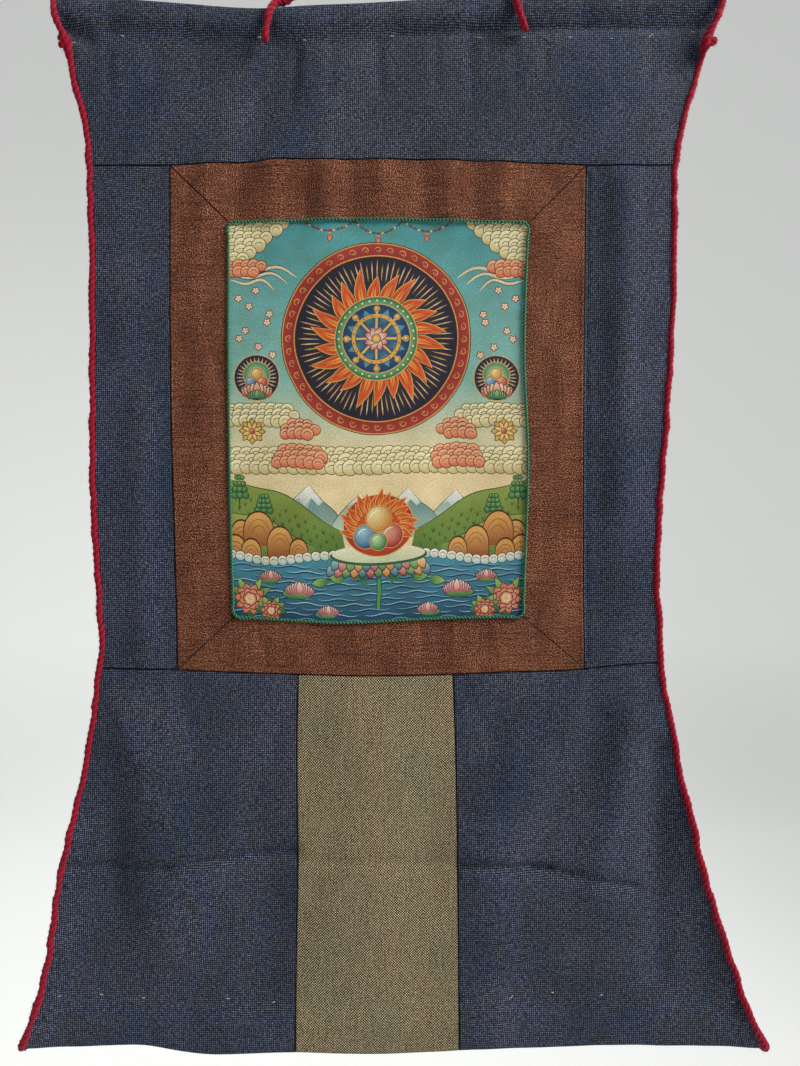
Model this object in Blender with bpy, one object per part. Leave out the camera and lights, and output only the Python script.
"""A thangka: a painting sewn into a hanging mount of cloth, on a cord over a nail.

The mount is pieced from flat cuts that meet at seams: a wide top panel, two side panels, a
mitred frame of four strips round the painting, two lower panels and a centre panel between
them. A wool cord is sewn down each side, a thin green cord lies round the painting, and a
cord through the top hem goes up to the nail.

Lengths are in millimetres and become metres where a mesh is made. X runs to the right, the
front faces -Y, and "down" is the distance below the nail. "Forward" is towards the viewer.
"""

import math
from collections import namedtuple

import bpy
import numpy as np

METRES = 0.001

NAVY_THICKNESS = 2.0
FRAME_THICKNESS = 2.4
CENTRE_THICKNESS = 2.2
PAINTING_THICKNESS = 1.6
SEAM_GAP = 0.3

# Each hem is a tube of the panel's own cloth: its height, and how far each side swells
TOP_HEM_HEIGHT = 26.0
TOP_HEM_SWELL = 4.6
BOTTOM_HEM_HEIGHT = 38.0
BOTTOM_HEM_SWELL = 1.9
HEM_LIP = 1.0

# Where the side cords leave the front of the top hem, and where they lie beside the cloth
HEM_END_DOWN = 70.0
BESIDE_DOWN = 82.0

RED_CORD_RADIUS = 2.5
GREEN_CORD_RADIUS = 1.25
SIDE_CORD_GAP = 0.7
GREEN_CORD_GAP = 0.5
KNOT_SWELL = 1.45
CORD_STEP = 14.0
CORD_TURN = math.radians(24)

# Edges and seams that run across, as (x, down)
TOP_EDGE = [
    (-254, 35.2), (-194, 39.8), (-146, 43.5), (-100, 46.0), (-71, 44.3),
    (-26, 42.3), (17, 39.8), (94, 35.2), (248, 28.5),
]
UPPER_SEAM = [
    (-227, 164.5), (-182, 164.5), (-143, 163.0), (-88, 160.3), (36, 160.3),
    (80, 161.4), (143, 164.3), (209, 164.0),
]
PAINTING_TOP = [(-124.5, 207.4), (-42, 205.3), (0, 204.8), (99.8, 207.8)]
PAINTING_BOTTOM = [(-120.6, 502.0), (-68, 505.0), (-37, 506.4), (0, 504.8), (95.6, 502.0)]
LOWER_SEAM = [
    (-218, 540.6), (-163.5, 542.0), (-118, 543.8), (-73, 545.4), (-15, 546.5),
    (43, 545.4), (92, 543.3), (142, 541.4), (168, 538.6), (197, 536.6),
]
BOTTOM_EDGE = [
    (-275, 824.0), (-229, 824.0), (-178, 825.0), (-163, 827.6), (-74, 829.0),
    (-15, 830.4), (47, 827.6), (123, 825.0), (201, 823.5), (273, 824.0),
]

# Edges and seams that run down, as (down, x)
FRAME_LEFT = [(164, -168.7), (266, -168.5), (340, -168), (408, -166), (487, -164), (542, -163)]
FRAME_RIGHT = [(164, 143.2), (250, 142.5), (328, 141.8), (542, 141.8)]
PAINTING_LEFT = [(207, -124.5), (302, -124.5), (382, -123.8), (460, -122), (502, -120.6)]
PAINTING_RIGHT = [(208, 99.8), (263, 97.4), (329, 97.2), (368, 99), (434, 98.2), (502, 95.6)]
CENTRE_LEFT = [(545, -72.6), (601, -73.6), (682, -73), (744, -74), (830, -74.4)]
CENTRE_RIGHT = [(545, 43.3), (601, 45.2), (682, 46.6), (764, 47.5), (828, 47.9)]

# The middle of the red cord down each side, as (down, x)
SIDE_LEFT = [
    (30, -254.6), (46, -256.2), (64, -249.8), (96, -241.5), (137, -231), (164, -229.3),
    (209, -227.4), (280, -227.1), (332, -227), (392, -226.5), (443, -224.9), (473, -222.6),
    (500, -221.4), (528, -219.8), (548, -222.6), (568, -224.5), (593, -228.3), (634, -236.3),
    (666, -243.9), (695, -250.5), (733, -256.1), (773, -262.8), (795, -269), (823, -277.8),
]
SIDE_RIGHT = [
    (24, 248.6), (40, 246.2), (65, 236.2), (86, 229.5), (116, 219.8), (145, 213),
    (164, 210.4), (194, 209.3), (266, 208.5), (302, 206.9), (332, 205), (362, 203),
    (406, 199), (436, 197.5), (473, 196), (510, 198.6), (540, 199.4), (555, 201.3),
    (572, 205), (597, 210), (628, 215.6), (653, 222.3), (680, 227.9), (706, 234.5),
    (735, 243.5), (762, 252.4), (795, 263.6), (823, 275.6),
]

# Soft folds, each a ridge (+) or trough (-) from one point to another
Fold = namedtuple("Fold", "x0 down0 x1 down1 half_width height")
FOLD_ROWS = [
    # Lower left panel: a broad ridge, its troughs and the curling edge
    (-188, 590, -165, 752, 27, 6.0),
    (-213, 610, -206, 722, 15, -2.6),
    (-104, 640, -96, 770, 24, -3.0),
    (-246, 672, -276, 812, 19, 5.5),
    # Lower right panel: slanting ridges, the trough by the side and the curling edge
    (112, 572, 58, 676, 23, 4.2),
    (152, 580, 104, 688, 16, -3.0),
    (178, 584, 150, 706, 15, 3.8),
    (196, 604, 197, 768, 12, -3.2),
    (228, 650, 270, 806, 21, 6.0),
    (82, 700, 66, 792, 26, 2.6),
    # Centre panel: it bulges a little between its seams
    (-18, 582, -20, 790, 34, 2.6),
    # The crease across the lower panels, left by rolling
    (-246, 689, -170, 690, 7, -1.5),
    (-170, 690, -76, 678, 7, -1.5),
    (-74, 685, 46, 687, 7, -0.8),
    (50, 687, 180, 705, 7, -1.7),
    # Side panels and the frame's side strips
    (-192, 335, -187, 528, 13, 2.6),
    (-206, 200, -205, 300, 13, 1.6),
    (173, 180, 170, 410, 13, 2.8),
    (150, 176, 146, 500, 14, -2.4),
    (-150, 230, -148, 470, 15, 1.4),
    # The painting: stiff, with a slow wave
    (-60, 240, -72, 470, 40, 1.8),
    (46, 230, 52, 480, 34, -1.6),
    # Frame top: small upright pleats
    (-142, 168, -141, 200, 9, 1.5),
    (-118, 168, -118, 200, 8, -1.2),
    (-92, 166, -93, 200, 9, 1.4),
    (-68, 166, -68, 200, 8, -1.2),
    (-52, 165, -53, 199, 8, 1.2),
    (-35, 165, -34, 199, 8, -1.2),
    (-8, 165, -9, 199, 10, 1.5),
    (20, 165, 20, 199, 8, -1.2),
    (41, 165, 42, 200, 9, 1.3),
    (61, 166, 61, 200, 8, -1.2),
    (81, 166, 82, 200, 9, 1.3),
    # Top panel: the pull from the left loop, and a slow wave
    (-50, 96, -82, 158, 19, 2.2),
    (-84, 84, -110, 158, 17, -2.0),
    (150, 80, 158, 160, 34, 1.8),
    (-200, 92, -192, 160, 26, 1.6),
]
FOLDS = [Fold(*row) for row in FOLD_ROWS]

# A cord's route: forward is how far it stands from the cloth's middle plane
CordPoint = namedtuple("CordPoint", "x down forward size")


def cubic_bends(t, values):
    """Second derivatives of the natural cubic through the values at t."""
    count = len(t)
    gaps = np.diff(t)
    system = np.eye(count)
    target = np.zeros(count)
    for i in range(1, count - 1):
        system[i, i - 1 : i + 2] = gaps[i - 1], 2 * (gaps[i - 1] + gaps[i]), gaps[i]
        rises = np.diff(values[i - 1 : i + 2]) / gaps[i - 1 : i + 1]
        target[i] = 6 * (rises[1] - rises[0])
    return np.linalg.solve(system, target)


def line_through(points):
    """A smooth function through (place, value) points."""
    t, values = np.array(points, float).T
    bends = cubic_bends(t, values)

    def at(place):
        place = np.clip(place, t[0], t[-1])
        i = np.clip(np.searchsorted(t, place) - 1, 0, len(t) - 2)
        gap = t[i + 1] - t[i]
        a = (t[i + 1] - place) / gap
        b = (place - t[i]) / gap
        bend = (a**3 - a) * bends[i] + (b**3 - b) * bends[i + 1]
        return a * values[i] + b * values[i + 1] + bend * gap**2 / 6

    return at


def straight(start, end):
    """The straight line through two (place, value) points."""
    slope = (end[1] - start[1]) / (end[0] - start[0])
    return lambda place: start[1] + slope * (place - start[0])


def moved(line, by):
    return lambda place: line(place) + by


def forward_at(x, down):
    """How far the cloth stands forward of the plane that it hangs in."""
    total = np.zeros(np.broadcast(x, down).shape)
    for fold in FOLDS:
        run_x, run_down = fold.x1 - fold.x0, fold.down1 - fold.down0
        along = (x - fold.x0) * run_x + (down - fold.down0) * run_down
        along = np.clip(along / (run_x**2 + run_down**2), 0, 1)
        apart_x = x - fold.x0 - along * run_x
        apart_down = down - fold.down0 - along * run_down
        apart = (apart_x**2 + apart_down**2) / fold.half_width**2
        total = total + fold.height * np.exp(-apart)
    return total


top_edge = line_through(TOP_EDGE)
upper_seam = line_through(UPPER_SEAM)
painting_top = line_through(PAINTING_TOP)
painting_bottom = line_through(PAINTING_BOTTOM)
lower_seam = line_through(LOWER_SEAM)
bottom_edge = line_through(BOTTOM_EDGE)
frame_left = line_through(FRAME_LEFT)
frame_right = line_through(FRAME_RIGHT)
painting_left = line_through(PAINTING_LEFT)
painting_right = line_through(PAINTING_RIGHT)
centre_left = line_through(CENTRE_LEFT)
centre_right = line_through(CENTRE_RIGHT)
side_left = line_through(SIDE_LEFT)
side_right = line_through(SIDE_RIGHT)


def side_inset(down):
    """From the red cord's middle to the cloth's edge, which lies behind the cord at the top hem."""
    beside = np.clip((down - HEM_END_DOWN) / (BESIDE_DOWN - HEM_END_DOWN), 0, 1)
    return (RED_CORD_RADIUS + SIDE_CORD_GAP) * beside * beside * (3 - 2 * beside)


def left_edge(down):
    return side_left(down) + side_inset(down)


def right_edge(down):
    return side_right(down) - side_inset(down)


def hem_swell(depth, height, swell):
    """How far a hem's side stands out at this depth from the edge, flat past its height."""
    reach = height / 2 + HEM_LIP
    inside = np.clip(1 - ((depth - height / 2) / reach) ** 2, 0, 1)
    return np.where(depth < height + HEM_LIP, swell * np.sqrt(inside), 0.0)


def half_thickness(x, down, thickness, hem):
    half = np.full(np.broadcast(x, down).shape, thickness / 2)
    if hem == "top":
        half = half + hem_swell(down - top_edge(x), TOP_HEM_HEIGHT, TOP_HEM_SWELL)
    if hem == "bottom":
        half = half + hem_swell(bottom_edge(x) - down, BOTTOM_HEM_HEIGHT, BOTTOM_HEM_SWELL)
    return half


def fabric(name, colour, roughness, sheen):
    """A cloth or yarn material: linear colour, roughness and sheen."""
    material = bpy.data.materials.new(name)
    material.use_nodes = True
    shader = material.node_tree.nodes["Principled BSDF"]
    shader.inputs["Base Color"].default_value = (*colour, 1)
    shader.inputs["Roughness"].default_value = roughness
    shader.inputs["Metallic"].default_value = 0
    shader.inputs["Sheen Weight"].default_value = sheen
    material.diffuse_color = (*colour, 1)
    return material


def place_in_scene(name, data, material):
    data.materials.append(material)
    bpy.context.scene.collection.objects.link(bpy.data.objects.new(name, data))


def even_rows(count):
    """Rows as (fraction of the way down, millimetres added)."""
    return [(i / count, 0.0) for i in range(count + 1)]


def rows_with_top_hem(count):
    depths = [0, 1.5, 4, 8, 13, 18, 22, 25, 27]
    rest = [(i / count, depths[-1] * (1 - i / count)) for i in range(1, count + 1)]
    return [(0, depth) for depth in depths] + rest


def rows_with_bottom_hem(count):
    depths = [39, 36, 30, 19, 8, 3, 0]
    rest = [(i / count, -depths[0] * i / count) for i in range(count)]
    return rest + [(1, -depth) for depth in depths]


def sheet(name, sides, ends, columns, rows, thickness, material, hem=None):
    """A sheet of cloth between two side lines x(down) and two end lines down(x)."""
    across = np.linspace(0, 1, columns + 1)[:, None]
    share, extra = np.array(rows, float).T
    x = np.zeros((columns + 1, len(rows)))
    down = x + ends[0](0.0)
    for _ in range(12):
        x = sides[0](down) * (1 - across) + sides[1](down) * across
        down = ends[0](x) * (1 - share) + ends[1](x) * share + extra
    forward = forward_at(x, down)
    half = half_thickness(x, down, thickness, hem)
    front = np.stack([x, -forward - half, -down], axis=-1).reshape(-1, 3)
    back = np.stack([x, -forward + half, -down], axis=-1).reshape(-1, 3)
    points = np.concatenate([front, back]) * METRES
    per_column = len(rows)

    def spot(column, row, side):
        return side * len(front) + column * per_column + row

    faces = []
    for i in range(columns):
        for j in range(per_column - 1):
            corners = [(i, j), (i, j + 1), (i + 1, j + 1), (i + 1, j)]
            faces.append([spot(*corner, 0) for corner in corners])
            faces.append([spot(*corner, 1) for corner in reversed(corners)])
    rim = [(0, j) for j in range(per_column)]
    rim += [(i, per_column - 1) for i in range(1, columns + 1)]
    rim += [(columns, j) for j in range(per_column - 2, -1, -1)]
    rim += [(i, 0) for i in range(columns - 1, 0, -1)]
    for here, following in zip(rim, rim[1:] + rim[:1]):
        faces.append([spot(*here, 0), spot(*here, 1), spot(*following, 1), spot(*following, 0)])
    mesh = bpy.data.meshes.new(name)
    mesh.from_pydata(points.tolist(), [], faces)
    mesh.shade_smooth()
    mesh.set_sharp_from_angle(angle=math.radians(40))
    place_in_scene(name, mesh, material)


def smooth_route(route, closed=False):
    """Close-set points on a smooth curve through a cord's own points."""
    points = np.array(route, float)
    lap = len(points)
    if closed:
        points = np.concatenate([points, points, points, points[:1]])
    strides = np.linalg.norm(np.diff(points[:, :3], axis=0), axis=1)
    t = np.concatenate([[0], np.cumsum(strides)])
    first, last = (t[lap], t[2 * lap]) if closed else (0, t[-1])
    fine = np.linspace(first, last, int((last - first) / 0.5) + 2)
    columns = [line_through(list(zip(t, points[:, k])))(fine) for k in range(4)]
    return np.stack(columns, axis=-1)


def thinned(fine):
    """Points at most a step apart, and closer where the cord turns."""
    kept = [0]
    length = turning = 0.0
    for i in range(1, len(fine) - 1):
        before, after = fine[i, :3] - fine[i - 1, :3], fine[i + 1, :3] - fine[i, :3]
        length += np.linalg.norm(before)
        cosine = before @ after / (np.linalg.norm(before) * np.linalg.norm(after))
        turning += math.acos(min(1.0, cosine))
        if length > CORD_STEP or turning > CORD_TURN:
            kept.append(i)
            length = turning = 0.0
    return fine[kept + [len(fine) - 1]]


def cord(name, route, radius, material, closed=False):
    """A round cord as a bevelled curve along its route."""
    points = thinned(smooth_route(route, closed))
    if closed:
        points = points[:-1]
    curve = bpy.data.curves.new(name, "CURVE")
    curve.dimensions = "3D"
    curve.bevel_depth = radius * METRES
    curve.bevel_resolution = 2
    curve.use_fill_caps = not closed
    spline = curve.splines.new("POLY")
    spline.points.add(len(points) - 1)
    for point, (x, down, forward, size) in zip(spline.points, points):
        point.co = (x * METRES, -forward * METRES, -down * METRES, 1)
        point.radius = size
    spline.use_cyclic_u = closed
    spline.use_smooth = True
    place_in_scene(name, curve, material)


def clear_scene():
    for thing in list(bpy.data.objects):
        bpy.data.objects.remove(thing, do_unlink=True)


clear_scene()
navy = fabric("navy cotton", (0.034, 0.041, 0.060), 0.92, 0.10)
brown = fabric("brown velvet", (0.147, 0.060, 0.038), 0.88, 0.30)
olive = fabric("olive twill", (0.178, 0.143, 0.078), 0.90, 0.10)
canvas = fabric("painted canvas", (0.180, 0.330, 0.300), 0.70, 0.0)
crimson = fabric("crimson wool", (0.440, 0.012, 0.040), 0.90, 0.30)
emerald = fabric("emerald silk", (0.010, 0.150, 0.085), 0.60, 0.15)

# The panels, each short of its seams by half the gap
half_gap = SEAM_GAP / 2
sheet(
    "top_panel",
    (left_edge, right_edge),
    (top_edge, moved(upper_seam, -half_gap)),
    34, rows_with_top_hem(6), NAVY_THICKNESS, navy, hem="top",
)
below_upper, above_lower = moved(upper_seam, half_gap), moved(lower_seam, -half_gap)
sheet(
    "left_panel",
    (left_edge, moved(frame_left, -half_gap)),
    (below_upper, above_lower),
    5, even_rows(20), NAVY_THICKNESS, navy,
)
sheet(
    "right_panel",
    (moved(frame_right, half_gap), right_edge),
    (below_upper, above_lower),
    5, even_rows(20), NAVY_THICKNESS, navy,
)
below_lower = moved(lower_seam, half_gap)
sheet(
    "lower_left_panel",
    (left_edge, moved(centre_left, -half_gap)),
    (below_lower, bottom_edge),
    15, rows_with_bottom_hem(14), NAVY_THICKNESS, navy, hem="bottom",
)
sheet(
    "lower_right_panel",
    (moved(centre_right, half_gap), right_edge),
    (below_lower, bottom_edge),
    16, rows_with_bottom_hem(14), NAVY_THICKNESS, navy, hem="bottom",
)
sheet(
    "centre_panel",
    (moved(centre_left, half_gap), moved(centre_right, -half_gap)),
    (below_lower, bottom_edge),
    7, rows_with_bottom_hem(12), CENTRE_THICKNESS, olive, hem="bottom",
)

# The frame: four strips mitred at the corners, as (x, down) from outside to inside
top_left_corner = (-168.7, 164.2), (-124.5, 207.4)
top_right_corner = (143.2, 164.3), (99.8, 207.8)
bottom_left_corner = (-163.2, 542.0), (-120.6, 502.0)
bottom_right_corner = (141.8, 541.4), (95.6, 502.0)
mitre_gap = half_gap * math.sqrt(2)


def mitre_across(corner, by):
    """The mitre as down(x)."""
    return moved(straight(*corner), by)


def mitre_down(corner, by):
    """The mitre as x(down)."""
    return moved(straight(*[point[::-1] for point in corner]), by)


sheet(
    "frame_top",
    (mitre_down(top_left_corner, mitre_gap), mitre_down(top_right_corner, -mitre_gap)),
    (below_upper, moved(painting_top, -half_gap)),
    30, even_rows(3), FRAME_THICKNESS, brown,
)
sheet(
    "frame_bottom",
    (mitre_down(bottom_left_corner, mitre_gap), mitre_down(bottom_right_corner, -mitre_gap)),
    (moved(painting_bottom, half_gap), above_lower),
    18, even_rows(3), FRAME_THICKNESS, brown,
)
sheet(
    "frame_left",
    (moved(frame_left, half_gap), moved(painting_left, -half_gap)),
    (mitre_across(top_left_corner, mitre_gap), mitre_across(bottom_left_corner, -mitre_gap)),
    3, even_rows(18), FRAME_THICKNESS, brown,
)
sheet(
    "frame_right",
    (moved(painting_right, half_gap), moved(frame_right, -half_gap)),
    (mitre_across(top_right_corner, mitre_gap), mitre_across(bottom_right_corner, -mitre_gap)),
    3, even_rows(18), FRAME_THICKNESS, brown,
)
sheet(
    "painting",
    (moved(painting_left, half_gap), moved(painting_right, -half_gap)),
    (moved(painting_top, half_gap), moved(painting_bottom, -half_gap)),
    11, even_rows(14), PAINTING_THICKNESS, canvas,
)

# The green cord, laid on the join of painting and frame
green_height = FRAME_THICKNESS / 2 + GREEN_CORD_GAP + GREEN_CORD_RADIUS
green_corner = 3.0


def on_join(x, down):
    return CordPoint(x, down, float(forward_at(x, down)) + green_height, 1.0)


def green_route():
    """Down the left side, along the bottom, up the right side and back along the top."""
    places = []
    for down in np.linspace(207.4 + green_corner, 502 - green_corner, 18):
        places.append((float(painting_left(down)), down))
    for x in np.linspace(-120.6 + green_corner, 95.6 - green_corner, 14):
        places.append((x, float(painting_bottom(x))))
    for down in np.linspace(502 - green_corner, 207.8 + green_corner, 18):
        places.append((float(painting_right(down)), down))
    for x in np.linspace(99.8 - green_corner, -124.5 + green_corner, 14):
        places.append((x, float(painting_top(x))))
    return [on_join(x, down) for x, down in places]


cord("green_cord", green_route(), GREEN_CORD_RADIUS, emerald, closed=True)

# The red side cords: from behind the bottom corner, up the cloth's edge, over the hem's end
# and down behind it to the knot. Here x is how far a point lies outside the side line
SIDE_POINTS = 44
BOTTOM_TURN = [
    (-9.0, 811.5, -6.6, 0.85), (-6.0, 817.5, -7.4, 1), (-2.0, 822.8, -6.2, 1.1),
    (0.8, 824.4, -2.4, 1.2), (0.8, 820.6, 0.3, 1.2),
]
KNOT_AND_TOP_TURN = [
    (0.6, 82, 4.4, 1.0), (-0.4, 76.5, 5.8, KNOT_SWELL), (-0.6, 70.5, 6.8, KNOT_SWELL),
    (0.0, 64, 8.8, 1.0), (0.2, 55, 9.4, 1.0), (0.0, 47, 9.3, 1.0), (0.0, 41, 8.5, 1.0),
    (0.0, 35.9, 6.5, 1.0), (0.0, 32.4, 3.6, 1.0), (0.2, 31.3, 0.0, 1.0),
    (0.4, 32.4, -3.6, 1.0), (0.4, 35.9, -6.5, 1.0), (0.4, 41, -8.5, 1.0),
    (0.4, 47, -9.3, 1.0), (0.6, 56, -9.4, 1.0), (0.8, 64, -8.2, 1.0), (1.2, 70, -6.2, 0.85),
]


def side_route(side_line, outward, rise):
    """The top turn is drawn for the left corner, and rise lifts it to this one."""
    rows = BOTTOM_TURN + [(0, down, 0, 1) for down in np.linspace(810, 92, SIDE_POINTS)]
    for out, down, forward, size in KNOT_AND_TOP_TURN:
        lift = rise * min(1.0, max(0.0, (BESIDE_DOWN - down) / TOP_HEM_HEIGHT))
        rows = rows + [(out, down - lift, forward, size)]
    route = []
    for out, down, forward, size in rows:
        x = float(side_line(down)) + outward * out
        route.append(CordPoint(x, down, float(forward_at(x, down)) + forward, size))
    return route


cord("side_cord_left", side_route(side_left, -1, 0.0), RED_CORD_RADIUS, crimson)
cord("side_cord_right", side_route(side_right, 1, 6.6), RED_CORD_RADIUS, crimson)

# The cut ends of the knots
TIE_ENDS = {
    "tie_end_left_upper": [(-253.0, 70.4, 5.8, 0.8), (-255.6, 68.6, 5.6, 0.9), (-258.4, 66.6, 5.2, 1.0)],
    "tie_end_left_lower": [(-251.8, 76.0, 4.6, 0.8), (-254.4, 77.4, 4.0, 0.9), (-257.2, 78.4, 3.4, 1.0)],
    "tie_end_right": [(239.4, 70.6, 5.6, 0.8), (242.4, 68.8, 5.4, 1.05), (246.4, 66.0, 5.0, 1.3)],
}
for name, route in TIE_ENDS.items():
    cord(name, route, RED_CORD_RADIUS * 0.8, crimson)

# The hanging cord: out of the hem, over the top edge, up to the nail and down again
HANGING_ROUTE = [
    (-97.0, 71.6, 6.2, 1), (-97.3, 68.2, 8.6, 1), (-96.8, 62.0, 9.5, 1),
    (-95.6, 54.6, 9.0, 1), (-94.2, 48.6, 7.9, 1), (-92.4, 44.6, 6.0, 1),
    (-90.2, 42.3, 3.2, 1), (-86.8, 41.0, 0.8, KNOT_SWELL), (-81.6, 39.2, 0, KNOT_SWELL),
    (-74.0, 35.4, 0, 1),
    (-56.0, 25.9, 0, 1), (-38.0, 16.5, 0, 1), (-20.0, 7.1, 0, 1), (-10.0, 1.7, 0, 1),
    (-4.6, -1.2, 0, 1), (0.0, -2.5, 0, 1), (4.6, -1.2, 0, 1), (10.0, 1.3, 0, 1),
    (20.0, 5.8, 0, 1), (38.0, 14.0, 0, 1), (56.0, 22.2, 0, 1), (72.0, 28.6, 0, 1),
    (80.0, 30.9, 0, KNOT_SWELL), (85.6, 31.2, 0.4, KNOT_SWELL), (90.4, 32.2, 3.2, 1),
    (93.2, 35.9, 6.8, 1), (94.8, 42.0, 8.8, 1), (95.8, 50.0, 9.5, 1),
    (96.6, 57.6, 9.0, 1), (96.8, 63.0, 6.6, 1), (96.8, 66.0, 3.2, 1),
]
cord("hanging_cord", HANGING_ROUTE, RED_CORD_RADIUS, crimson)

# The back of each loop, from under its knot down behind the hem
LOOP_BACKS = {
    "loop_back_left": [
        (-86.6, 42.6, -6.4, 1), (-88.6, 47.6, -8.6, 1), (-91.6, 55.0, -9.2, 1),
        (-94.6, 62.0, -9.3, 1), (-96.2, 68.2, -8.4, 1), (-96.8, 73.4, -5.8, 1),
    ],
    "loop_back_right": [
        (85.6, 34.0, -6.6, 1), (88.6, 39.4, -8.8, 1), (92.0, 47.0, -9.2, 1),
        (95.2, 55.0, -8.4, 1), (96.6, 61.8, -6.2, 1), (96.8, 66.0, -3.2, 1),
    ],
}
for name, route in LOOP_BACKS.items():
    cord(name, route, RED_CORD_RADIUS, crimson)
